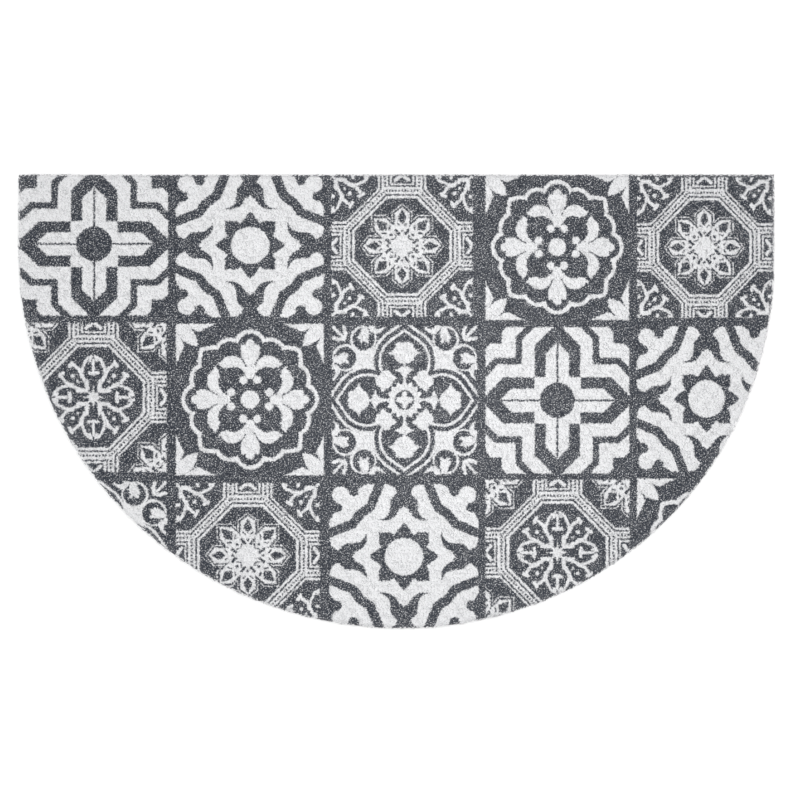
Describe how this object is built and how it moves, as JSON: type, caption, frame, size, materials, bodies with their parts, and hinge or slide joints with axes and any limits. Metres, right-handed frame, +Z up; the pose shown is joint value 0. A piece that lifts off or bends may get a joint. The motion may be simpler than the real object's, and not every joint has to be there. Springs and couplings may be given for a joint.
{
  "type": "half moon doormat",
  "caption": "Flat half moon doormat with one straight edge, a low looped-filament pile and a two-tone tile print.",
  "frame": {"origin": "middle of the floor under the mat", "axes": "+X along the straight edge, +Y towards the straight edge, +Z up out of the pile"},
  "size_m": [0.75, 0.4504, 0.01],
  "materials": {
    "pile": "matte looped PVC filament, printed slate grey on white"
  },
  "bodies": {
    "root": {"mat": "pile"}
  },
  "joints": []
}
